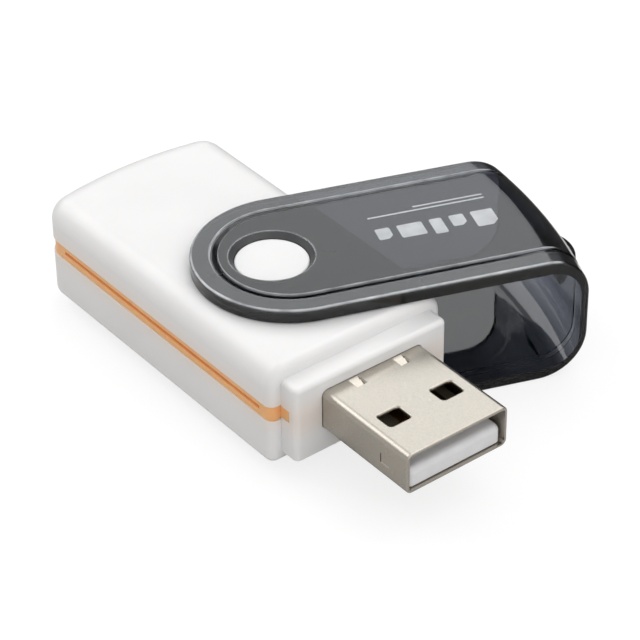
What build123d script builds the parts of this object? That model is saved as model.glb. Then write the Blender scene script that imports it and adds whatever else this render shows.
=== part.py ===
from build123d import *
import os
from math import cos, sin, sqrt, radians

os.makedirs("parts", exist_ok=True)

# ---------------------------------------------------------------- driving dimensions, mm
# Everything is drawn about the swivel axis (x = y = 0) with z = 0 on the resting plane,
# +x towards the plug's mouth. The finished solids are then shifted so that the middle of
# the footprint is the origin.
SHIFT_X, SHIFT_Y = -1.07, -9.699

# housing
X_REAR = -25.61           # rear end at mid width
X_FRONT = 13.15           # front face beside the collar
HALF_W = 10.4
Z_BOT, Z_TOP = 1.45, 12.35
REAR_R = 42.0             # rear end is bowed in plan
CORNER_R = 2.6            # rear corners in plan
TOP_R = 2.4               # soft top edges
FRONT_R = 0.9
BOTTOM_R = 0.6
WALL = 1.3

# collar round the plug
X_COLLAR = 15.42
COLLAR_HALF_W = 9.1
COLLAR_Z = (2.5, 10.85)
COLLAR_CORNER_R, COLLAR_TOP_R, COLLAR_BOTTOM_R = 0.6, 0.5, 0.12
X_CLOSE = 14.4            # ahead of this the two shells meet directly

# orange middle frame
BAND_Z = (6.35, 8.05)
BAND_INSET = 0.15
COLLAR_BAND_Z = (6.62, 7.92)   # the band is narrower on the collar
LIP_Z = (5.15, 9.05)
LIP_IN = 1.9
GROOVE_H, GROOVE_D = 0.42, 0.45
GROOVE_X = (-21.2, 11.3)

# plug, standard sleeve 12.0 x 4.5
PLUG_TIP = 27.75
PLUG_REAR = 9.0
PLUG_W, PLUG_H, PLUG_T = 12.0, 4.5, 0.3
PLUG_Z = 7.2
PLUG_R = 0.65

# swivel cover, drawn along +x and turned by COVER_DEG
COVER_DEG = 69.66
COVER_HALF_W = 9.8
COVER_ROUND_X = 1.9       # centre of the round end
COVER_END = 29.5          # outside of the end wall at its furthest point
COVER_BOW_R, COVER_BOW_Y = 60.0, -3.5   # the end wall is bowed in plan
COVER_H = 13.9
PLATE_TOP, PLATE_BOT, END_T = 1.4, 1.25, 0.8
BEND_TOP, BEND_BOT = 4.5, 4.95
BEND_TOP_IN, BEND_BOT_IN = 3.2, 3.4
COVER_EDGE_R = 0.3
RIM_W, RIM_GROOVE_W, RIM_GROOVE_D = 1.93, 0.8, 0.2
RIM_EDGE_R = 0.1
RIM_DEEP, RIM_DEEP_W = 0.46, 0.55     # the top plate's groove deepens towards its inner wall
HOLE_R, HOLE_SINK_R, HOLE_SINK_D = 3.72, 4.2, 0.58
PIP_X, PIP_R, PIP_H = 5.8, 0.75, 0.1

# pivot bosses on the shells
BOSS_R, BOSS_TOP, BOSS_LOW = 3.66, 13.32, 0.58

# lanyard tab on the end wall
TAB_X, TAB_R, TAB_Z = 27.3, 4.2, (6.0, 8.4)
EYE_X, EYE_R = 30.2, 0.75

# circuit board and sockets
PCB_X, PCB_HALF_W, PCB_Z = (-22.0, 8.5), 8.3, (4.7, 5.7)
SD_X, SD_Y, SD_Z = (-21.5, 6.5), (-7.3, 8.3), (5.7, 8.7)
SD_CARD_X = (-19.8, 4.8)
SLOT_Z = (6.0, 8.6)
UC_X, UC_HALF_W, UC_Z = (-21.5, -8.0), 6.9, (3.25, 4.7)
UC_CARD_HALF_W = 5.75
UC_SLOT_Z = (3.35, 4.35)


# ---------------------------------------------------------------- helpers
def box(x0, x1, y0, y1, z0, z1):
    return Pos((x0 + x1) / 2, (y0 + y1) / 2, (z0 + z1) / 2) * Box(x1 - x0, y1 - y0, z1 - z0)


def cyl(x, y, r, z0, z1):
    return Pos(x, y, (z0 + z1) / 2) * Cylinder(r, z1 - z0)


def plan(inset):
    """Outline of the housing seen from above, drawn in by inset."""
    y = HALF_W - inset
    xf = X_FRONT - inset
    r = REAR_R - inset
    cx = X_REAR + REAR_R
    xc = cx - sqrt(r * r - y * y)
    xr = cx - r
    face = make_face([
        Line((xf, -y), (xf, y)),
        Line((xf, y), (xc, y)),
        ThreePointArc((xc, y), (xr, 0), (xc, -y)),
        Line((xc, -y), (xf, -y)),
    ])
    return fillet(face.vertices().sort_by(Axis.X)[:2], CORNER_R - inset if inset < 2 else 0.8)


def prism(inset, z0, z1):
    return Pos(0, 0, z0) * extrude(plan(inset), z1 - z0)


def strip_y(points, x0, x1):
    """Sheet strip: outline in the y-z plane, x0 to x1 wide."""
    face = make_face(Polyline(*[(0, y, z) for y, z in points], close=True))
    return Pos(x0, 0, 0) * extrude(face, x1 - x0, dir=(1, 0, 0))


def strip_x(points, y0, y1):
    """Sheet strip: outline in the x-z plane, y0 to y1 wide."""
    face = make_face(Polyline(*[(x, 0, z) for x, z in points], close=True))
    return Pos(0, y0, 0) * extrude(face, y1 - y0, dir=(0, 1, 0))


# ---------------------------------------------------------------- housing, outer form
main = prism(0, Z_BOT, Z_TOP)
main = fillet([e for e in main.edges()
               if abs(e.center().Z - Z_TOP) < 1e-4 and e.center().X < X_FRONT - 0.01], TOP_R)
main = fillet([e for e in main.edges()
               if abs(e.center().X - X_FRONT) < 1e-4 and e.center().Z > Z_BOT + 0.01], FRONT_R)
main = fillet([e for e in main.edges() if abs(e.center().Z - Z_BOT) < 1e-4], BOTTOM_R)

collar = box(X_FRONT - 1.6, X_COLLAR, -COLLAR_HALF_W, COLLAR_HALF_W, *COLLAR_Z)
collar = fillet(collar.faces().sort_by(Axis.X)[-1].edges().filter_by(Axis.Z), COLLAR_CORNER_R)
collar = fillet([e for e in collar.faces().sort_by(Axis.Z)[-1].edges()
                 if e.center().X > X_FRONT - 1.5], COLLAR_TOP_R)
collar = fillet([e for e in collar.faces().sort_by(Axis.Z)[0].edges()
                 if e.center().X > X_FRONT - 1.5], COLLAR_BOTTOM_R)
outer = main + collar

cavity = prism(WALL, Z_BOT + WALL, Z_TOP - WALL)
cavity = fillet([e for e in cavity.edges() if abs(e.center().Z - (Z_TOP - WALL)) < 1e-4], 1.0)

plug_section = RectangleRounded(PLUG_W, PLUG_H, PLUG_R)
plug_hole = Plane(origin=(PLUG_REAR - 1, 0, PLUG_Z), x_dir=(0, 1, 0), z_dir=(1, 0, 0)) * extrude(
    RectangleRounded(PLUG_W + 0.1, PLUG_H + 0.1, PLUG_R + 0.05), 12)
card_slot = box(SD_CARD_X[0] - 0.1, SD_CARD_X[1] + 0.1, HALF_W - 2.6, HALF_W + 2, *SLOT_Z)
micro_slot = box(X_REAR - 2, X_REAR + 4, -UC_CARD_HALF_W - 0.1, UC_CARD_HALF_W + 0.1, *UC_SLOT_Z)

# ---------------------------------------------------------------- upper shell
zone = (box(-40, 40, -20, 20, BAND_Z[1], 20) + box(X_FRONT, 40, -20, 20, COLLAR_BAND_Z[1], BAND_Z[1])
        + box(X_CLOSE, 40, -20, 20, PLUG_Z, COLLAR_BAND_Z[1]))
boss = cyl(0, 0, BOSS_R, Z_TOP - 0.6, BOSS_TOP)
boss = fillet(boss.faces().sort_by(Axis.Z)[-1].edges(), 0.15)
upper_shell = (outer & zone) - cavity - plug_hole - card_slot + boss
for px, py in [(-18, 6), (-18, -5), (3, 6), (3, -5)]:      # posts onto the socket lid
    upper_shell = upper_shell + cyl(px, py, 0.7, SD_Z[1], Z_TOP - WALL + 0.2)
for s in (-1, 1):                                          # click dimples
    upper_shell = upper_shell - (Pos(s * PIP_X, 0, Z_TOP + 3.2) * Sphere(3.3)
                                 & box(-20, 20, -2, 2, Z_TOP - 1, Z_TOP + 0.02))

# ---------------------------------------------------------------- lower shell
zone = (box(-40, 40, -20, 20, -5, BAND_Z[0]) + box(X_FRONT, 40, -20, 20, BAND_Z[0], COLLAR_BAND_Z[0])
        + box(X_CLOSE, 40, -20, 20, COLLAR_BAND_Z[0], PLUG_Z))
boss = cyl(0, 0, BOSS_R, BOSS_LOW, Z_BOT + 0.6)
boss = fillet(boss.faces().sort_by(Axis.Z)[0].edges(), 0.15)
lower_shell = (outer & zone) - cavity - plug_hole - card_slot - micro_slot + boss
for px, py in [(-6, 7.3), (-6, -7.3), (7, 6.9), (7, -6.9)]:  # posts under the board
    lower_shell = lower_shell + cyl(px, py, 0.8, Z_BOT + WALL - 0.2, PCB_Z[0])
for s in (-1, 1):
    lower_shell = lower_shell - (Pos(s * PIP_X, 0, Z_BOT - 3.2) * Sphere(3.3)
                                 & box(-20, 20, -2, 2, Z_BOT - 0.02, Z_BOT + 1))

# ---------------------------------------------------------------- middle frame
frame_body = prism(BAND_INSET, *BAND_Z)
frame_body = fillet([e for e in frame_body.edges().filter_by(Axis.Z)
                     if e.center().X > X_FRONT - BAND_INSET - 0.01], FRONT_R - BAND_INSET)
frame_body = frame_body + box(X_FRONT - 1.0, X_CLOSE, -COLLAR_HALF_W + 0.05,
                              COLLAR_HALF_W - 0.05, *COLLAR_BAND_Z)
frame_body = frame_body - prism(LIP_IN, BAND_Z[0] - 1, BAND_Z[1] + 1)
lip = prism(WALL, *LIP_Z) - prism(LIP_IN, LIP_Z[0] - 1, LIP_Z[1] + 1)
mid_frame = frame_body + lip - plug_hole - card_slot
gz0, gz1 = PLUG_Z - GROOVE_H / 2, PLUG_Z + GROOVE_H / 2
gy = HALF_W - BAND_INSET - GROOVE_D
mid_frame = mid_frame - box(*GROOVE_X, -HALF_W - 1, -gy, gz0, gz1)
mid_frame = mid_frame - box(*GROOVE_X, gy, HALF_W + 1, gz0, gz1)

# ---------------------------------------------------------------- plug
plug_plane = Plane(origin=(PLUG_REAR, 0, PLUG_Z), x_dir=(0, 1, 0), z_dir=(1, 0, 0))
sleeve = plug_plane * extrude(plug_section, PLUG_TIP - PLUG_REAR)
sleeve = fillet(sleeve.faces().sort_by(Axis.X)[-1].edges(), 0.16)
bore = plug_plane * extrude(
    RectangleRounded(PLUG_W - 2 * PLUG_T, PLUG_H - 2 * PLUG_T, PLUG_R - PLUG_T), PLUG_TIP - PLUG_REAR)
plug_shell = sleeve - bore
zt = PLUG_Z + PLUG_H / 2
WIN_X, WIN_L, WIN_Y, WIN_W = PLUG_TIP - 5.335, 2.07, (-3.15, 3.15), 2.5
for y in WIN_Y:                                            # latch windows, top and bottom
    plug_shell = plug_shell - Pos(WIN_X, y, PLUG_Z - 4) * extrude(RectangleRounded(WIN_L, WIN_W, 0.38), 8)
plug_shell = fillet([e for e in plug_shell.edges()         # punched rims are rolled in
                     if abs(e.center().Z - zt) < 1e-4 and abs(e.center().X - WIN_X) < WIN_L / 2 + 0.01
                     and abs(e.center().Y) < 5], 0.2)
xa, xb = PLUG_TIP - 12.2, PLUG_TIP - 10.8
for y0, y1 in [(-3.05, -1.95), (2.25, 3.35)]:              # pushed-in ramps at the root
    plug_shell = plug_shell + strip_x([(xa, zt - 0.29), (xb, zt - 0.29), (xb, zt - 0.66), (xa, zt - 0.31)], y0, y1)
    plug_shell = plug_shell - strip_x([(xa, zt), (xb, zt - 0.4), (xb, zt + 0.1), (xa, zt + 0.1)], y0, y1)
    plug_shell = plug_shell - strip_y([(y1 - 0.01, zt - 0.16), (y1 + 0.15, zt + 0.001), (y1 - 0.01, zt + 0.05)],
                                      xa + 0.45, xb)
# stamped corner line of the side tab, its lower stroke with a sloped foot
ys = -PLUG_W / 2
plug_shell = plug_shell - box(PLUG_TIP - 3.83, PLUG_TIP - 3.69, ys - 1, ys + 0.14, 6.53, 7.55)
plug_shell = plug_shell - strip_y([(ys - 0.02, 6.43), (ys + 0.13, 6.62), (ys + 0.13, 6.68), (ys - 0.02, 6.68)],
                                  PLUG_TIP - 3.83, PLUG_TIP - 2.5)
# folded seam under the sleeve
plug_shell = plug_shell - box(PLUG_REAR - 1, PLUG_TIP + 1, -0.05, 0.05, PLUG_Z - 4, PLUG_Z - PLUG_H / 2 + 0.16)

zf = PLUG_Z - PLUG_H / 2 + PLUG_T                          # inner floor of the sleeve
tongue = box(14.5, PLUG_TIP - 0.35, -5.55, 5.55, zf + 0.12, PLUG_Z + 0.05)
tongue = fillet(tongue.faces().sort_by(Axis.X)[-1].edges().sort_by(Axis.Z)[-1], 0.7)
tongue = fillet(tongue.faces().sort_by(Axis.X)[-1].edges().filter_by(Axis.Z), 0.6)
block = box(PLUG_REAR + 0.4, 14.8, -5.45, 5.45, zf, PLUG_Z + PLUG_H / 2 - PLUG_T)
block = fillet(block.edges().filter_by(Axis.X), 0.45)
plug_contacts = []
for y, xe in [(-3.5, 2.6), (-1.0, 3.6), (1.0, 3.6), (3.5, 2.6)]:
    zc = PLUG_Z + 0.05
    plug_contacts.append(strip_x(
        [(7.0, PCB_Z[1]), (9.2, PCB_Z[1]), (9.2, zc - 0.1), (PLUG_TIP - xe, zc - 0.1),
         (PLUG_TIP - xe, zc + 0.1), (9.0, zc + 0.1), (9.0, PCB_Z[1] + 0.2), (7.0, PCB_Z[1] + 0.2)],
        y - 0.5, y + 0.5))
plug_tongue = tongue + block
for c in plug_contacts:
    plug_tongue = plug_tongue - c

# ---------------------------------------------------------------- circuit board and chips
board = box(*PCB_X, -PCB_HALF_W, PCB_HALF_W, *PCB_Z)
circuit_board = fillet(board.edges().filter_by(Axis.Z), 1.4)
zb = PCB_Z[0]
controller_chip = box(-2.5, 3.5, -3.0, 3.0, zb - 0.85, zb)
controller_chip = chamfer(controller_chip.faces().sort_by(Axis.Z)[0].edges(), 0.08)
regulator_chip = box(5.0, 6.6, -4.6, -1.7, zb - 1.0, zb)
regulator_chip = chamfer(regulator_chip.faces().sort_by(Axis.Z)[0].edges(), 0.12)
crystal_can = box(-6.0, -2.8, 3.0, 5.5, zb - 0.7, zb)
crystal_can = fillet(crystal_can.edges().filter_by(Axis.Z), 0.4)
chip_capacitors = [box(x - 0.8, x + 0.8, y - 0.4, y + 0.4, zb - 0.8, zb)
                   for x, y in [(-4.6, -3.0), (-4.6, -4.6), (0.2, 4.4), (2.6, 4.4), (5.4, 1.4), (5.4, 3.0)]]
chip_resistors = [box(x - 0.5, x + 0.5, y - 0.25, y + 0.25, zb - 0.35, zb)
                  for x, y in [(-1.0, -4.6), (0.6, -4.6), (2.2, -4.6), (-4.4, 1.2), (-4.4, 0.0), (-4.4, -1.2)]]
zt = PCB_Z[1]
ferrite_beads = [box(x - 0.5, x + 0.5, y - 0.25, y + 0.25, zt, zt + 0.5)
                 for x, y in [(7.7, -5.2), (7.7, -6.2)]]
activity_lamp = box(6.9, 8.3, 6.2, 7.0, zt, zt + 0.55)
activity_lamp = chamfer(activity_lamp.faces().sort_by(Axis.Z)[-1].edges(), 0.1)

# ---------------------------------------------------------------- full-size card socket (card enters at +y)
card_socket_base = box(*SD_X, *SD_Y, SD_Z[0], SD_Z[1] - 0.25)
card_socket_base = card_socket_base - box(*SD_CARD_X, SD_Y[0] + 1.0, SD_Y[1] + 1, SD_Z[0] + 0.5, SD_Z[1])
card_socket_base = card_socket_base - box(-16, 1, 3.0, SD_Y[1] + 1, SD_Z[0] - 1, SD_Z[1])   # finger relief
card_socket_contacts = []
for i in range(9):
    x = (SD_CARD_X[0] + SD_CARD_X[1]) / 2 + (i - 4) * 2.5
    z0 = SD_Z[0]
    card_socket_contacts.append(strip_y(
        [(-8.2, z0), (-7.0, z0), (-6.55, z0 + 0.5), (-2.6, z0 + 0.72), (0.6, z0 + 1.35), (1.3, z0 + 1.12),
         (1.3, z0 + 1.33), (0.6, z0 + 1.57), (-2.6, z0 + 0.94), (-6.7, z0 + 0.72), (-7.1, z0 + 0.2),
         (-8.2, z0 + 0.2)], x - 0.45, x + 0.45))
for c in card_socket_contacts:
    card_socket_base = card_socket_base - c
card_detect_springs = [
    box(4.4, 4.6, -6.3, -2.0, SD_Z[0] + 0.9, SD_Z[0] + 1.7),
    box(-19.6, -19.4, -6.3, -2.0, SD_Z[0] + 0.9, SD_Z[0] + 1.7),
]
card_socket_lid = box(*SD_X, *SD_Y, SD_Z[1] - 0.25, SD_Z[1])
for x in (-16.5, -11.5, -6.5, -1.5):                       # pressed relief slots
    card_socket_lid = card_socket_lid - box(x, x + 2.2, -5.0, 3.0, SD_Z[1] - 1, SD_Z[1] + 1)

# ---------------------------------------------------------------- micro card socket under the board (card enters at -x)
micro_socket_base = box(*UC_X, -UC_HALF_W, UC_HALF_W, UC_Z[0] + 0.15, UC_Z[1])
micro_socket_base = micro_socket_base - box(UC_X[0] - 1, UC_X[1] - 0.9, -UC_CARD_HALF_W, UC_CARD_HALF_W,
                                            UC_Z[0], UC_Z[1] - 0.4)
micro_socket_contacts = []
for i in range(8):
    y = (i - 3.5) * 1.1
    z1 = UC_Z[1]
    micro_socket_contacts.append(strip_x(
        [(-7.2, z1), (-8.2, z1), (-8.6, z1 - 0.4), (-11.4, z1 - 0.46), (-14.2, z1 - 0.9), (-14.9, z1 - 0.78),
         (-14.9, z1 - 0.93), (-14.2, z1 - 1.06), (-11.4, z1 - 0.61), (-8.5, z1 - 0.55), (-8.1, z1 - 0.15),
         (-7.2, z1 - 0.15)], y - 0.3, y + 0.3))
for c in micro_socket_contacts:
    micro_socket_base = micro_socket_base - c
micro_socket_lid = box(UC_X[0], UC_X[1] - 0.5, -UC_HALF_W - 0.15, UC_HALF_W + 0.15, UC_Z[0], UC_Z[0] + 0.15)
for s in (-1, 1):
    y0, y1 = sorted((s * UC_HALF_W, s * (UC_HALF_W + 0.15)))
    micro_socket_lid = micro_socket_lid + box(UC_X[0], UC_X[1] - 0.5, y0, y1, UC_Z[0], UC_Z[1] - 0.2)

# ---------------------------------------------------------------- swivel cover
def u_face(end, zt, zb, rt, rb):
    """Side view of the folded strip, open towards -x."""
    x0 = -30
    c = sqrt(0.5)
    return make_face([
        Line((x0, 0, zt), (end - rt, 0, zt)),
        ThreePointArc((end - rt, 0, zt), (end - rt + c * rt, 0, zt - rt + c * rt), (end, 0, zt - rt)),
        Line((end, 0, zt - rt), (end, 0, zb + rb)),
        ThreePointArc((end, 0, zb + rb), (end - rb + c * rb, 0, zb + rb - c * rb), (end - rb, 0, zb)),
        Line((end - rb, 0, zb), (x0, 0, zb)),
        Line((x0, 0, zb), (x0, 0, zt)),
    ])


def u_solid(end, zt, zb, rt, rb):
    """The folded strip's outline swung about the centre of the end wall's bow."""
    axis = Axis((COVER_END - COVER_BOW_R, COVER_BOW_Y, 0), (0, 0, 1))
    face = Pos(0, COVER_BOW_Y, 0) * u_face(end, zt, zb, rt, rb)
    return revolve(face.rotate(axis, -32), axis, 64)


def race(half, x_end):
    """Strip outline seen from above: half-round at the pivot end, straight beyond."""
    return make_face([
        Line((x_end, -half), (COVER_ROUND_X, -half)),
        ThreePointArc((COVER_ROUND_X, -half), (COVER_ROUND_X - half, 0), (COVER_ROUND_X, half)),
        Line((COVER_ROUND_X, half), (x_end, half)),
        Line((x_end, half), (x_end, -half)),
    ])


def race_solid(half):
    return Pos(0, 0, -2) * extrude(race(half, 40), COVER_H + 4)


cov = u_solid(COVER_END, COVER_H, 0, BEND_TOP, BEND_BOT) & race_solid(COVER_HALF_W)
cov = fillet([e for e in cov.edges()
              if not (abs(e.center().X - COVER_ROUND_X) < 1e-3 and abs(e.center().Z - COVER_H / 2) < 1e-3)
              and abs(abs(e.center().Y) - COVER_HALF_W) < 1e-3 or
              (e.geom_type == GeomType.CIRCLE and e.center().X < COVER_ROUND_X)], COVER_EDGE_R)
# rim groove: the outer skin of the strip between two outlines
d = RIM_GROOVE_D
skin = u_solid(COVER_END + 3, COVER_H + 3, -3, BEND_TOP + 3, BEND_BOT + 3) - u_solid(
    COVER_END - d, COVER_H - d, d, BEND_TOP - d, BEND_BOT - d)
ring = race_solid(COVER_HALF_W - RIM_W) - race_solid(COVER_HALF_W - RIM_W - RIM_GROOVE_W)
cov = cov - (skin & ring)
inner = COVER_HALF_W - RIM_W - RIM_GROOVE_W
x_flat = COVER_END - BEND_TOP - 0.4
deep = loft([Pos(0, 0, COVER_H - RIM_DEEP) * race(inner + 0.06, x_flat),
             Pos(0, 0, COVER_H - d + 0.01) * race(inner + RIM_DEEP_W, x_flat)], ruled=True)
fade = make_face([                      # runs out to the shallow groove before the bend
    Line((-20, 0, COVER_H - 1), (x_flat - 5, 0, COVER_H - RIM_DEEP)),
    Line((x_flat - 5, 0, COVER_H - RIM_DEEP), (x_flat, 0, COVER_H - d)),
    Line((x_flat, 0, COVER_H - d), (x_flat, 0, COVER_H + 1)),
    Line((x_flat, 0, COVER_H + 1), (-20, 0, COVER_H + 1)),
    Line((-20, 0, COVER_H + 1), (-20, 0, COVER_H - 1)),
])
cov = cov - ((deep - race_solid(inner)) & extrude(fade, 12, both=True))


def skin_depth(p):
    """How far a point lies below the outer skin of the folded strip."""
    cx, cy = COVER_END - COVER_BOW_R, COVER_BOW_Y
    x = sqrt((p.X - cx) ** 2 + (p.Y - cy) ** 2) + cx
    if p.Z > COVER_H - BEND_TOP and x > COVER_END - BEND_TOP:
        return BEND_TOP - sqrt((x - COVER_END + BEND_TOP) ** 2 + (p.Z - COVER_H + BEND_TOP) ** 2)
    if p.Z < BEND_BOT and x > COVER_END - BEND_BOT:
        return BEND_BOT - sqrt((x - COVER_END + BEND_BOT) ** 2 + (p.Z - BEND_BOT) ** 2)
    return min(COVER_H - p.Z, p.Z, COVER_END - x)


def on_groove(e):
    """True for an edge that runs along either lip of the rim groove."""
    for t in (0.1, 0.5, 0.9):
        p = e.position_at(t)
        off = sqrt((p.X - COVER_ROUND_X) ** 2 + p.Y ** 2) if p.X < COVER_ROUND_X else abs(p.Y)
        if min(abs(off - COVER_HALF_W + RIM_W), abs(off - COVER_HALF_W + RIM_W + RIM_GROOVE_W)) > 2e-3:
            return False
        if skin_depth(p) > 0.02:
            return False
    return True


cov = fillet([e for e in cov.edges() if on_groove(e)], RIM_EDGE_R)
# inside of the fold
cov = cov - u_solid(COVER_END - END_T, COVER_H - PLATE_TOP, PLATE_BOT, BEND_TOP_IN, BEND_BOT_IN)
# lanyard tab with its eye
tab = cyl(TAB_X, 0, TAB_R, *TAB_Z) & box(COVER_END - 0.4, COVER_END + 5, -10, 10, *TAB_Z)
tab = fillet([e for e in tab.edges() if e.geom_type == GeomType.CIRCLE], 0.55)
cov = cov + tab - cyl(EYE_X, 0, EYE_R, TAB_Z[0] - 1, TAB_Z[1] + 1)
# pivot holes with a sloped mouth
cov = cov - cyl(0, 0, HOLE_R, -1, COVER_H + 1)
cov = cov - Pos(0, 0, COVER_H - HOLE_SINK_D / 2) * Cone(HOLE_R, HOLE_SINK_R, HOLE_SINK_D)
cov = cov - Pos(0, 0, HOLE_SINK_D / 2) * Cone(HOLE_SINK_R, HOLE_R, HOLE_SINK_D)
cov = fillet([e for e in cov.edges() if e.geom_type == GeomType.CIRCLE and abs(e.radius - HOLE_SINK_R) < 1e-3], 0.12)
# click pips on the inner faces
k = (PIP_R ** 2 - PIP_H ** 2) / (2 * PIP_H)                # sphere centre height above the face
for s in (-1, 1):
    ball_r = k + PIP_H
    cov = cov + (Pos(s * PIP_X, 0, COVER_H - PLATE_TOP + k) * Sphere(ball_r)
                 & box(s * PIP_X - 1, s * PIP_X + 1, -1, 1, COVER_H - PLATE_TOP - 1, COVER_H - PLATE_TOP + 0.3))
    cov = cov + (Pos(s * PIP_X, 0, PLATE_BOT - k) * Sphere(ball_r)
                 & box(s * PIP_X - 1, s * PIP_X + 1, -1, 1, PLATE_BOT - 0.3, PLATE_BOT + 1))
swivel_cover = Rot(0, 0, COVER_DEG) * cov

# ---------------------------------------------------------------- export
nodes = {
    "upper_shell": upper_shell,
    "lower_shell": lower_shell,
    "mid_frame": mid_frame,
    "swivel_cover": swivel_cover,
    "plug_shell": plug_shell,
    "plug_tongue": plug_tongue,
    "plug_contacts": plug_contacts,
    "circuit_board": circuit_board,
    "controller_chip": controller_chip,
    "regulator_chip": regulator_chip,
    "crystal_can": crystal_can,
    "chip_capacitors": chip_capacitors,
    "chip_resistors": chip_resistors,
    "ferrite_beads": ferrite_beads,
    "activity_lamp": activity_lamp,
    "card_socket_base": card_socket_base,
    "card_socket_lid": card_socket_lid,
    "card_socket_contacts": card_socket_contacts,
    "card_detect_springs": card_detect_springs,
    "micro_socket_base": micro_socket_base,
    "micro_socket_lid": micro_socket_lid,
    "micro_socket_contacts": micro_socket_contacts,
}
shift = Pos(SHIFT_X, SHIFT_Y, 0)
for name, shape in nodes.items():
    solids = []
    for s in (shape if isinstance(shape, list) else [shape]):
        solids.extend((shift * s).solids())
    out = solids[0] if len(solids) == 1 else Compound(children=solids)
    export_step(out, f"parts/{name}.step")
    bb = out.bounding_box()
    print(f"{name:24s} {len(solids)} solid(s)  "
          f"x {bb.min.X:.3f} {bb.max.X:.3f}  y {bb.min.Y:.3f} {bb.max.Y:.3f}  z {bb.min.Z:.3f} {bb.max.Z:.3f}")
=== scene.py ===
import math

import bpy
from mathutils import Matrix, Vector


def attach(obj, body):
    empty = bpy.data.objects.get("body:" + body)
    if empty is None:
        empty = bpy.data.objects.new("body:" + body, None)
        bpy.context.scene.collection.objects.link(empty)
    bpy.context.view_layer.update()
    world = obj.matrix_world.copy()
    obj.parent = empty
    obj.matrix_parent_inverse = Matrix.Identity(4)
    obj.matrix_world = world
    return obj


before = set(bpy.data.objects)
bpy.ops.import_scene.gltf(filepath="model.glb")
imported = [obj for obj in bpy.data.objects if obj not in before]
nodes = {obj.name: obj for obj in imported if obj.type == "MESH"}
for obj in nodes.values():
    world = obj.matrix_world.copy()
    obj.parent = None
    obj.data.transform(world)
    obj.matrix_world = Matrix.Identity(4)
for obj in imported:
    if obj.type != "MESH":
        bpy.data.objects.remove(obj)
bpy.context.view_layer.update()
scene = bpy.context.scene


# ------------------------------------------------------------------ node helpers
class Mat:
    """A material with one principled shader; every call adds nodes and hands back a socket."""

    def __init__(self, name):
        self.m = bpy.data.materials.new(name)
        self.m.use_nodes = True
        self.t = self.m.node_tree
        self.t.nodes.clear()
        self.out = self.t.nodes.new("ShaderNodeOutputMaterial")
        self.p = self.t.nodes.new("ShaderNodeBsdfPrincipled")
        self.t.links.new(self.p.outputs["BSDF"], self.out.inputs["Surface"])
        self.co = self.t.nodes.new("ShaderNodeTexCoord").outputs["Object"]

    def set(self, **values):
        for name, v in values.items():
            s = self.p.inputs[name.replace("_", " ")]
            if isinstance(v, bpy.types.NodeSocket):
                self.t.links.new(v, s)
            else:
                s.default_value = v
        return self

    def scaled(self, x, y, z):
        n = self.t.nodes.new("ShaderNodeMapping")
        n.inputs["Scale"].default_value = (x, y, z)
        self.t.links.new(self.co, n.inputs["Vector"])
        return n.outputs["Vector"]

    def noise(self, scale, detail=3.0, rough=0.5, at=None):
        n = self.t.nodes.new("ShaderNodeTexNoise")
        n.inputs["Scale"].default_value = scale
        n.inputs["Detail"].default_value = detail
        n.inputs["Roughness"].default_value = rough
        self.t.links.new(at or self.co, n.inputs["Vector"])
        return n.outputs["Fac"]

    def voronoi(self, scale, feature="F1", at=None):
        n = self.t.nodes.new("ShaderNodeTexVoronoi")
        n.feature = feature
        n.inputs["Scale"].default_value = scale
        self.t.links.new(at or self.co, n.inputs["Vector"])
        return n.outputs["Distance"]

    def ramp(self, fac, *stops):
        n = self.t.nodes.new("ShaderNodeValToRGB")
        e = n.color_ramp.elements
        while len(e) < len(stops):
            e.new(0.5)
        for el, (pos, col) in zip(e, stops):
            el.position = pos
            el.color = (*col, 1.0)
        self.t.links.new(fac, n.inputs["Fac"])
        return n.outputs["Color"]

    def span(self, fac, lo, hi, a=0.3, b=0.7):
        n = self.t.nodes.new("ShaderNodeMapRange")
        n.inputs["From Min"].default_value = a
        n.inputs["From Max"].default_value = b
        n.inputs["To Min"].default_value = lo
        n.inputs["To Max"].default_value = hi
        self.t.links.new(fac, n.inputs["Value"])
        return n.outputs["Result"]

    def math(self, op, a, b):
        n = self.t.nodes.new("ShaderNodeMath")
        n.operation = op
        for s, v in zip(n.inputs, (a, b)):
            if isinstance(v, bpy.types.NodeSocket):
                self.t.links.new(v, s)
            else:
                s.default_value = v
        return n.outputs["Value"]

    def height(self):
        n = self.t.nodes.new("ShaderNodeSeparateXYZ")
        self.t.links.new(self.co, n.inputs["Vector"])
        return n.outputs["Z"]

    def vec(self, op, a, b):
        n = self.t.nodes.new("ShaderNodeVectorMath")
        n.operation = op
        self.t.links.new(a, n.inputs[0])
        if b is not None:
            n.inputs[1].default_value = b
        return n.outputs["Value" if op in ("DOT_PRODUCT", "LENGTH") else "Vector"]

    def mix(self, fac, a, b):
        n = self.t.nodes.new("ShaderNodeMix")
        n.data_type = "RGBA"
        self.t.links.new(fac, n.inputs["Factor"])
        sa = [i for i in n.inputs if i.type == "RGBA"]
        for s, v in zip(sa, (a, b)):
            if isinstance(v, bpy.types.NodeSocket):
                self.t.links.new(v, s)
            else:
                s.default_value = (*v, 1.0)
        return [o for o in n.outputs if o.type == "RGBA"][0]

    def bump(self, height, strength, distance, normal=None):
        n = self.t.nodes.new("ShaderNodeBump")
        n.inputs["Strength"].default_value = strength
        n.inputs["Distance"].default_value = distance
        self.t.links.new(height, n.inputs["Height"])
        if normal is not None:
            self.t.links.new(normal, n.inputs["Normal"])
        return n.outputs["Normal"]

    def volume(self, color, density):
        n = self.t.nodes.new("ShaderNodeVolumeAbsorption")
        n.inputs["Color"].default_value = (*color, 1.0)
        n.inputs["Density"].default_value = density
        self.t.links.new(n.outputs["Volume"], self.out.inputs["Volume"])
        return self


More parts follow.
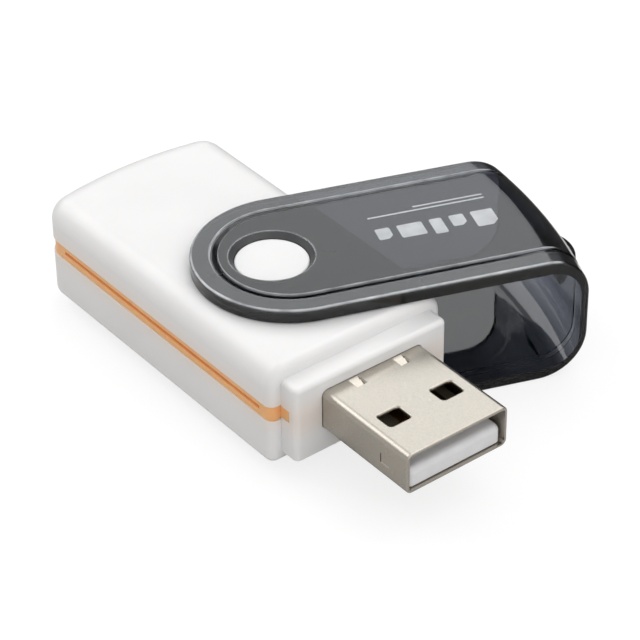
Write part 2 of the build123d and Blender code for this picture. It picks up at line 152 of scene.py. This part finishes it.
# ------------------------------------------------------------------ materials
def white_plastic(name):
    m = Mat(name)
    tint = m.ramp(m.noise(140.0, 3.0), (0.3, (0.780, 0.774, 0.770)), (0.7, (0.805, 0.799, 0.795)))
    # painted glow: the white turns warm near the orange band's height, standing in for orange light bled through from
    # the band
    off = m.math("ABSOLUTE", m.math("SUBTRACT", m.height(), 0.00727), 0.0)
    painted_band_glow = m.span(off, 0.55, 0.0, 0.0006, 0.0026)
    m.set(
        Base_Color=m.mix(painted_band_glow, tint, (0.83, 0.700, 0.610)),
        Roughness=m.span(m.noise(420.0, 4.0), 0.30, 0.42),
        IOR=1.5,
        Subsurface_Weight=0.25,
        Subsurface_Radius=(1.0, 0.82, 0.68),
        Subsurface_Scale=0.0007,
        Normal=m.bump(m.noise(5200.0, 2.0), 0.10, 0.00001),
    )
    return m.m


def orange_plastic(name):
    m = Mat(name)
    tint = m.ramp(m.noise(260.0, 3.0), (0.3, (0.88, 0.44, 0.175)), (0.7, (0.93, 0.485, 0.210)))
    m.set(
        Base_Color=tint,
        Roughness=m.span(m.noise(500.0, 4.0), 0.26, 0.38),
        IOR=1.5,
        Subsurface_Weight=0.5,
        Subsurface_Radius=(1.0, 0.5, 0.25),
        Subsurface_Scale=0.0008,
        Normal=m.bump(m.noise(4200.0, 2.0), 0.08, 0.00001),
    )
    return m.m


def smoked_plastic(name):
    """Smoked clear plastic; the raised rim outside the groove is hazier as a painted sheen, thin hazy lines at the
    lips are painted highlights, and the hazy bore mouth is painted lift.
    """
    m = Mat(name)
    along, across = (0.3475, 0.9377, 0.0), (-0.9377, 0.3475, 0.0)
    pivot = (-0.00107, -0.009699, 0.0)
    rel = m.vec("SUBTRACT", m.co, pivot)
    u = m.math("MINIMUM", m.math("SUBTRACT", m.vec("DOT_PRODUCT", rel, along), 0.0019), 0.0)
    v = m.vec("DOT_PRODUCT", rel, across)
    out = m.math("SQRT", m.math("ADD", m.math("MULTIPLY", u, u), m.math("MULTIPLY", v, v)), 0.0)
    upper = m.span(m.height(), 0.0, 1.0, 0.0135, 0.0137)
    rim = m.math("MULTIPLY", m.span(out, 0.0, 1.0, 0.00778, 0.00792), upper)
    # painted sheen: the rim outside the groove is hazed to stand in for the brighter reflection it catches, and made
    # slightly rougher
    painted_rim_sheen = m.math("MULTIPLY", rim, m.span(m.noise(800.0, 6.0, 0.6), 0.75, 1.0))
    speck = m.span(m.voronoi(900.0), 1.0, 0.0, 0.05, 0.11)
    dust = m.math("MULTIPLY", speck, m.span(m.noise(330.0, 3.0), 0.0, 1.0, 0.50, 0.66))
    # painted highlights: thin hazy lines along the groove lips, the outer edge and the bore's edge stand in for edge
    # glints
    painted_lip_highlights = None
    for at, half in ((0.00707, 0.00007), (0.00787, 0.00008), (0.00964, 0.00011)):
        line = m.span(m.math("ABSOLUTE", m.math("SUBTRACT", out, at), 0.0), 1.0, 0.0, half * 0.5, half * 1.5)
        painted_lip_highlights = line if painted_lip_highlights is None else m.math("MAXIMUM", painted_lip_highlights, line)
    bore = m.vec("LENGTH", m.vec("MULTIPLY", rel, (1.0, 1.0, 0.0)), None)
    line = m.span(m.math("ABSOLUTE", m.math("SUBTRACT", bore, 0.00424), 0.0), 0.42, 0.0, 0.00004, 0.00012)
    painted_lip_highlights = m.math("MAXIMUM", painted_lip_highlights, line)
    painted_lip_highlights = m.math("MULTIPLY", m.math("MULTIPLY", painted_lip_highlights, upper), m.span(m.noise(500.0, 4.0, 0.6), 0.45, 1.0))
    # the haze sums real dust specks with the painted rim sheen, painted lip highlights and painted bore lift
    dust_and_painted_sheen = m.math("MAXIMUM", m.math("MULTIPLY", painted_rim_sheen, 0.055), m.math("MULTIPLY", dust, 0.16))
    # the bore's mouth is rougher, and slightly hazed as painted lift of the shade inside the hole
    bore_rough_and_painted_lift = m.math("MULTIPLY", m.span(bore, 1.0, 0.0, 0.00414, 0.00420), m.span(m.height(), 0.0, 1.0, 0.0130, 0.0132))
    dust_and_painted_sheen = m.math("MAXIMUM", dust_and_painted_sheen, m.math("MULTIPLY", bore_rough_and_painted_lift, 0.05))
    dust_and_painted_sheen = m.math("MAXIMUM", dust_and_painted_sheen, m.math("MULTIPLY", painted_lip_highlights, 0.60))
    m.set(
        Base_Color=m.ramp(m.noise(260.0, 2.0), (0.3, (0.92, 0.955, 1.0)), (0.7, (0.95, 0.975, 1.0))),
        Roughness=m.math("ADD", m.span(m.noise(900.0, 5.0), 0.02, 0.06), m.math("MAXIMUM", m.math("MULTIPLY", painted_rim_sheen, 0.06), m.math("MULTIPLY", bore_rough_and_painted_lift, 0.45))),
        IOR=1.53,
        Transmission_Weight=m.math("SUBTRACT", 1.0, dust_and_painted_sheen),
        Normal=m.bump(m.noise(160.0, 1.0), 0.03, 0.0001),
    )
    m.volume((0.0, 0.035, 0.13), 2050.0)
    return m.m


def nickel(name):
    m = Mat(name)
    rolled = m.noise(1.0, 4.0, at=m.scaled(700.0, 9000.0, 9000.0))
    tint = m.ramp(m.noise(6500.0, 3.0), (0.3, (0.462, 0.430, 0.378)), (0.7, (0.520, 0.484, 0.428)))
    m.set(
        Base_Color=tint,
        Metallic=1.0,
        Roughness=m.span(m.noise(5200.0, 3.0), 0.27, 0.35),
        Normal=m.bump(rolled, 0.05, 0.00001),
    )
    return m.m


def metal(name, lo, hi, r0, r1):
    m = Mat(name)
    m.set(
        Base_Color=m.ramp(m.noise(900.0, 4.0), (0.3, lo), (0.7, hi)),
        Metallic=1.0,
        Roughness=m.span(m.noise(1500.0, 4.0), r0, r1),
        Normal=m.bump(m.noise(1.0, 3.0, at=m.scaled(900.0, 9000.0, 9000.0)), 0.05, 0.00001),
    )
    return m.m


def moulded(name, lo, hi, r0=0.4, r1=0.55, sss=0.0):
    m = Mat(name)
    m.set(
        Base_Color=m.ramp(m.noise(700.0, 4.0), (0.3, lo), (0.7, hi)),
        Roughness=m.span(m.noise(900.0, 4.0), r0, r1),
        Normal=m.bump(m.noise(6500.0, 2.0), 0.12, 0.00001),
    )
    if sss:
        m.set(Subsurface_Weight=sss, Subsurface_Radius=(1.0, 0.9, 0.8), Subsurface_Scale=0.0005)
    return m.m


def insulator(name):
    m = Mat(name)
    depth = m.t.nodes.new("ShaderNodeSeparateXYZ")
    m.t.links.new(m.co, depth.inputs["Vector"])
    face = m.ramp(m.noise(700.0, 4.0), (0.3, (0.70, 0.695, 0.705)), (0.7, (0.75, 0.745, 0.755)))
    # painted shade: deeper than the tongue's front the insulator is coloured dark brown, standing in for the shade
    # inside the shell
    painted_inner_shade = m.ramp(m.noise(900.0, 4.0), (0.3, (0.10, 0.085, 0.065)), (0.7, (0.17, 0.145, 0.115)))
    m.set(
        Base_Color=m.mix(m.span(depth.outputs["X"], 0.0, 1.0, 0.0228, 0.0244), painted_inner_shade, face),
        Roughness=m.span(m.noise(900.0, 4.0), 0.30, 0.42),
        Subsurface_Weight=0.15,
        Subsurface_Radius=(1.0, 0.9, 0.8),
        Subsurface_Scale=0.0004,
        Normal=m.bump(m.noise(6500.0, 2.0), 0.12, 0.00001),
    )
    return m.m


MATS = {
    "white": white_plastic("white_moulding"),
    "orange": orange_plastic("orange_moulding"),
    "smoked": smoked_plastic("smoked_clear"),
    "nickel": nickel("nickel_plate"),
    "insulator": insulator("insulator_white"),
    "gilt": metal("gilt_strip", (0.86, 0.60, 0.22), (0.93, 0.68, 0.30), 0.16, 0.26),
    "board": moulded("solder_mask", (0.012, 0.13, 0.045), (0.02, 0.17, 0.06), 0.22, 0.34),
    "chip": moulded("chip_black", (0.018, 0.018, 0.02), (0.03, 0.03, 0.032), 0.45, 0.6),
    "can": metal("drawn_steel", (0.60, 0.60, 0.58), (0.68, 0.68, 0.66), 0.2, 0.32),
    "ceramic": moulded("chip_ceramic", (0.36, 0.24, 0.14), (0.46, 0.32, 0.19), 0.35, 0.5),
    "lamp": moulded("lamp_lens", (0.80, 0.76, 0.58), (0.88, 0.84, 0.68), 0.12, 0.2, 0.5),
    "socket": moulded("socket_black", (0.02, 0.02, 0.022), (0.034, 0.034, 0.036), 0.35, 0.5),
    "sheet": metal("stamped_sheet", (0.62, 0.61, 0.58), (0.70, 0.69, 0.66), 0.22, 0.34),
}
FINISH = {
    "upper_shell": "white", "lower_shell": "white", "mid_frame": "orange", "swivel_cover": "smoked",
    "plug_shell": "nickel", "plug_tongue": "insulator", "plug_contacts": "gilt", "circuit_board": "board",
    "controller_chip": "chip", "regulator_chip": "chip", "crystal_can": "can", "chip_capacitors": "ceramic",
    "chip_resistors": "chip", "ferrite_beads": "chip", "activity_lamp": "lamp", "card_socket_base": "socket",
    "card_socket_lid": "sheet", "card_socket_contacts": "gilt", "card_detect_springs": "gilt",
    "micro_socket_base": "socket", "micro_socket_lid": "sheet", "micro_socket_contacts": "gilt",
}
for name, key in FINISH.items():
    obj = nodes[name]
    obj.data.materials.clear()
    obj.data.materials.append(MATS[key])

# ------------------------------------------------------------------ printed marks on the cover
# plain card shapes and a stripe, a thin film of ink let into the plate's upper face
PIVOT, ALONG, ACROSS = (-1.07, -9.699), (0.3475, 0.9377), (-0.9377, 0.3475)


def rounded(x0, y0, x1, y1, r=0.12, clip=0.0):
    """Outline of a small round-cornered rectangle; clip cuts its last corner off."""
    pts = []
    for cx, cy, a in ((x1 - r, y0 + r, -90), (x1 - r, y1 - r, 0), (x0 + r, y1 - r, 90), (x0 + r, y0 + r, 180)):
        if clip and a == 90:
            pts += [(x0 + clip, y1), (x0, y1 - clip)]
            continue
        for k in range(5):
            t = math.radians(a + 22.5 * k)
            pts.append((cx + r * math.cos(t), cy + r * math.sin(t)))
    return pts


marks = []
x = 0.0
for w, h, clip in ((2.3, 2.7, 0.7), (1.5, 1.9, 0.5), (1.3, 2.6, 0.0), (2.6, 2.2, 0.0), (1.5, 1.9, 0.5)):
    marks.append(rounded(x, 0.0, x + w, h, 0.2, clip))
    x += w + 0.75
marks.append(rounded(0.0, -2.15, x - 0.75, -1.93, 0.1))
marks.append(rounded(0.0, -2.75, (x - 0.75) * 0.6, -2.53, 0.1))
ink_v, ink_f = [], []
for outline in marks:
    base, n = len(ink_v), len(outline)
    for zz in (13.880, 13.8985):
        for sx, sy in outline:
            u, v = 22.9 - sx, 0.95 - sy          # the row reads from the end wall towards the pivot
            ink_v.append(((PIVOT[0] + u * ALONG[0] + v * ACROSS[0]) / 1000,
                          (PIVOT[1] + u * ALONG[1] + v * ACROSS[1]) / 1000, zz / 1000))
    ink_f.append([base + k for k in reversed(range(n))])
    ink_f.append([base + n + k for k in range(n)])
    ink_f += [[base + k, base + (k + 1) % n, base + n + (k + 1) % n, base + n + k] for k in range(n)]
ink_mesh = bpy.data.meshes.new("cover_print")
ink_mesh.from_pydata(ink_v, [], ink_f)
ink_mesh.update()
ink = bpy.data.objects.new("cover_print", ink_mesh)
scene.collection.objects.link(ink)
ink_mesh.materials.append(moulded("ink_white", (0.70, 0.70, 0.70), (0.86, 0.86, 0.86), 0.45, 0.6))
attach(ink, "cover")

# ------------------------------------------------------------------ camera
cam = bpy.data.objects.new("camera", bpy.data.cameras.new("camera"))
scene.collection.objects.link(cam)
right = Vector((0.61741, 0.78658, -0.00985))
up = Vector((-0.4580, 0.3696, 0.8085))
fwd = Vector((-0.63959, 0.49466, -0.58842)).normalized()
right = (right - fwd * right.dot(fwd)).normalized()
up = right.cross(fwd)
m = Matrix((
    (right.x, up.x, -fwd.x, 0.16911),
    (right.y, up.y, -fwd.y, -0.13554),
    (right.z, up.z, -fwd.z, 0.16010),
    (0, 0, 0, 1),
))
cam.matrix_world = m
cam.data.sensor_fit = "HORIZONTAL"
cam.data.sensor_width = 36.0
cam.data.lens = 150.2
cam.data.clip_start = 0.005
cam.data.clip_end = 20.0
scene.camera = cam

# ------------------------------------------------------------------ stage
floor_mesh = bpy.data.meshes.new("floor")
R = 3.0
N = 64
ring = [(R * math.cos(2 * math.pi * i / N), R * math.sin(2 * math.pi * i / N), -0.00002) for i in range(N)]
floor_mesh.from_pydata(ring, [], [list(range(N))])
floor = bpy.data.objects.new("floor", floor_mesh)
scene.collection.objects.link(floor)
fm = bpy.data.materials.new("floor_pale")
fm.use_nodes = True
t = fm.node_tree
t.nodes.clear()


def node(tree, kind, links=(), **sets):
    """A node with operation-like settings, its number sockets set, and its inputs linked."""
    n = tree.nodes.new(kind)
    for k, v in sets.items():
        if k.startswith("i_"):
            n.inputs[k[2:].replace("_", " ")].default_value = v
        elif k.startswith("n_"):
            n.inputs[int(k[2:])].default_value = v
        else:
            setattr(n, k, v)
    for source, key in links:
        tree.links.new(source, n.inputs[key])
    return n


def smooth(tree, source, a, b, lo, hi):
    n = node(tree, "ShaderNodeMapRange", [(source, "Value")], interpolation_type="SMOOTHSTEP")
    for k, v in (("From Min", a), ("From Max", b), ("To Min", lo), ("To Max", hi)):
        n.inputs[k].default_value = v
    return n.outputs["Result"]


fo = node(t, "ShaderNodeOutputMaterial")
away = node(t, "ShaderNodeVectorMath", [(node(t, "ShaderNodeTexCoord").outputs["Object"], 0)],
            operation="LENGTH").outputs["Value"]
beyond = node(t, "ShaderNodeVectorMath", [(node(t, "ShaderNodeTexCoord").outputs["Object"], 0)],
              operation="DOT_PRODUCT", n_1=(-0.55, 0.83, 0.0)).outputs["Value"]
# for bounce light the floor is painted darker beyond the object, standing in for light falling off, and darker in a
# spot under the cover, a painted shadow
painted_shadow_spot = node(t, "ShaderNodeVectorMath", [(node(t, "ShaderNodeTexCoord").outputs["Object"], 0)],
            operation="DISTANCE", n_1=(-0.008, 0.020, 0.0)).outputs["Value"]
floor_painted_shade = node(t, "ShaderNodeMath", [(smooth(t, beyond, 0.028, 0.042, 0.90, 0.08), 0), (smooth(t, painted_shadow_spot, 0.015, 0.032, 0.90, 0.56), 1)],
            operation="MINIMUM").outputs[0]
tone = node(t, "ShaderNodeCombineColor", [(floor_painted_shade, 0), (node(t, "ShaderNodeMath", [(floor_painted_shade, 0)], operation="MULTIPLY", n_1=0.985).outputs[0], 1),
                                           (node(t, "ShaderNodeMath", [(floor_painted_shade, 0)], operation="MULTIPLY", n_1=0.965).outputs[0], 2)])
fd = node(t, "ShaderNodeBsdfDiffuse", [(tone.outputs["Color"], "Color")])
sheet = node(t, "ShaderNodeBsdfDiffuse", i_Color=(0.24, 0.24, 0.24, 1.0))
fe = node(t, "ShaderNodeEmission", [(smooth(t, away, 0.03, 0.09, 0.78, 1.0), "Strength")], i_Color=(1, 1, 1, 1))
seen = node(t, "ShaderNodeAddShader", [(sheet.outputs["BSDF"], 0), (fe.outputs["Emission"], 1)])
pick = node(t, "ShaderNodeMixShader", [(node(t, "ShaderNodeLightPath").outputs["Is Camera Ray"], 0),
                                       (fd.outputs["BSDF"], 1), (seen.outputs["Shader"], 2)])
t.links.new(pick.outputs["Shader"], fo.inputs["Surface"])
floor_mesh.materials.append(fm)

# the studio: bright overhead and on the near side, dim along the far horizon
world = bpy.data.worlds.new("studio")
scene.world = world
world.use_nodes = True
w = world.node_tree
bg = w.nodes["Background"]
bg.inputs["Color"].default_value = (1.0, 1.0, 1.0, 1.0)
look = node(w, "ShaderNodeTexCoord").outputs["Generated"]
q = node(w, "ShaderNodeVectorMath", [(look, 0)], operation="DOT_PRODUCT", n_1=(-0.5, 0.86, 0.0)).outputs["Value"]
z = node(w, "ShaderNodeSeparateXYZ", [(look, "Vector")]).outputs["Z"]
back = smooth(w, q, -0.25, 0.45, 0.0, 1.0)
low = smooth(w, z, 0.42, 0.58, 1.0, 0.0)
dim = node(w, "ShaderNodeMath", [(back, 0), (low, 1)], operation="MULTIPLY").outputs[0]
lean = node(w, "ShaderNodeVectorMath", [(look, 0)], operation="DOT_PRODUCT", n_1=(0.75, 0.66, 0.0)).outputs["Value"]
side = smooth(w, lean, -0.60, 0.75, 0.58, 1.42)
drop = node(w, "ShaderNodeMath", [(node(w, "ShaderNodeMath", [(side, 0)], operation="SUBTRACT", n_1=0.10).outputs[0], 0), (dim, 1)],
            operation="MULTIPLY").outputs[0]
level = node(w, "ShaderNodeMath", [(side, 0), (drop, 1)], operation="SUBTRACT").outputs[0]
seen = node(w, "ShaderNodeMath", [(node(w, "ShaderNodeLightPath").outputs["Is Camera Ray"], 0), (level, 1)], operation="MAXIMUM")
w.links.new(seen.outputs[0], bg.inputs["Strength"])


def softbox(name, where, look, size, radiance):
    data = bpy.data.lights.new(name, "AREA")
    data.shape = "RECTANGLE"
    data.size, data.size_y = size
    data.energy = radiance * math.pi * size[0] * size[1]
    o = bpy.data.objects.new(name, data)
    scene.collection.objects.link(o)
    o.location = where
    d = Vector(look) - Vector(where)
    o.rotation_euler = d.to_track_quat("-Z", "Y").to_euler()
    return o


softbox("top_box", (-0.07, 0.24, 0.55), (0, 0, 0), (0.34, 0.34), 1.25)
softbox("far_panel", (-0.512, 0.396, 0.498), (0, 0, 0.007), (0.34, 0.30), 1.2).data.color = (0.95, 0.98, 1.0)
softbox("left_panel", (-0.44, -0.16, 0.38), (0, 0, 0.007), (0.44, 0.40), 2.1)

scene.view_settings.view_transform = "Standard"
scene.view_settings.look = "None"
scene.view_settings.exposure = 0.0
scene.view_settings.gamma = 1.0

# ------------------------------------------------------------------ final update
bpy.context.view_layer.update()
